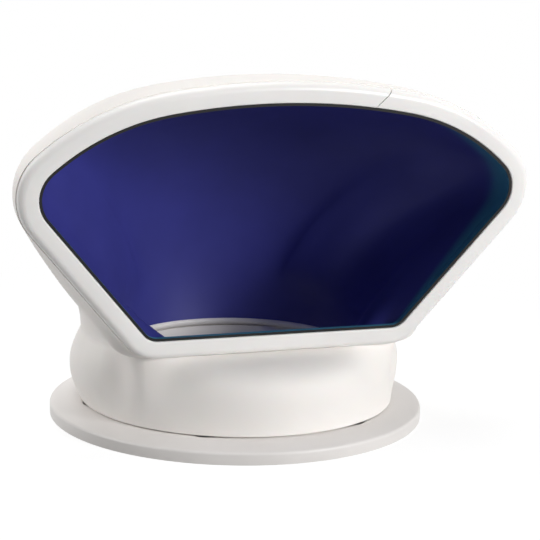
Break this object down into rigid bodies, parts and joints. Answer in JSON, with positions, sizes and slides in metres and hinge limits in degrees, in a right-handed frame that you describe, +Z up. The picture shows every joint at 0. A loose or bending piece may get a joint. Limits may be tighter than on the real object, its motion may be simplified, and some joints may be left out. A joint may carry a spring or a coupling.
{
  "type": "dorade vent",
  "caption": "Low-profile cowl ventilator for a dorade box or deck: a wide-mouthed soft cowl with a dark liner that turns and lifts off on a round deck ring with an insect screen.",
  "frame": {"origin": "centre of the deck ring, on its axis, at the level of its underside", "axes": "+Z up along the swivel axis, the mouth faces -Y at rest, X across the mouth"},
  "size_m": [0.2176, 0.165, 0.1514],
  "materials": {
    "deck_plastic": "moulded satin",
    "foam_gasket": "closed-cell foam",
    "screen_plastic": "moulded satin",
    "mesh_wire": "woven wire",
    "spring_wire": "drawn wire",
    "slide_plastic": "turned, slippery",
    "ring_rubber": "smooth",
    "stainless": "punched and turned",
    "soft_white": "soft moulded vinyl",
    "soft_blue": "soft moulded vinyl, matte",
    "rim_white": "soft moulded vinyl"
  },
  "bodies": {
    "deck": {"deck_ring": "deck_plastic", "deck_gasket": "foam_gasket", "screen_frame": "screen_plastic", "insect_mesh": "mesh_wire", "screen_clamp": "screen_plastic", "screen_circlip": "spring_wire", "thrust_washer": "slide_plastic", "swivel_circlip": "spring_wire"},
    "swivel": {"swivel_ring": "slide_plastic", "friction_ring": "ring_rubber"},
    "cowl": {"neck_ring": "deck_plastic", "clamp_ring": "stainless", "clamp_screws": "stainless", "cowl_shell": "soft_white", "cowl_liner": "soft_blue", "mouth_rim": "rim_white"}
  },
  "joints": [
    {"name": "cowl_swivel", "type": "hinge", "parent": "deck", "child": "swivel", "pos_m": [0, 0, 0.0175], "axis": [0, 0, 1], "continuous": true},
    {"name": "cowl_lift", "type": "slide", "parent": "swivel", "child": "cowl", "axis": [0, 0, 1], "range_m": [0, 0.04]}
  ]
}
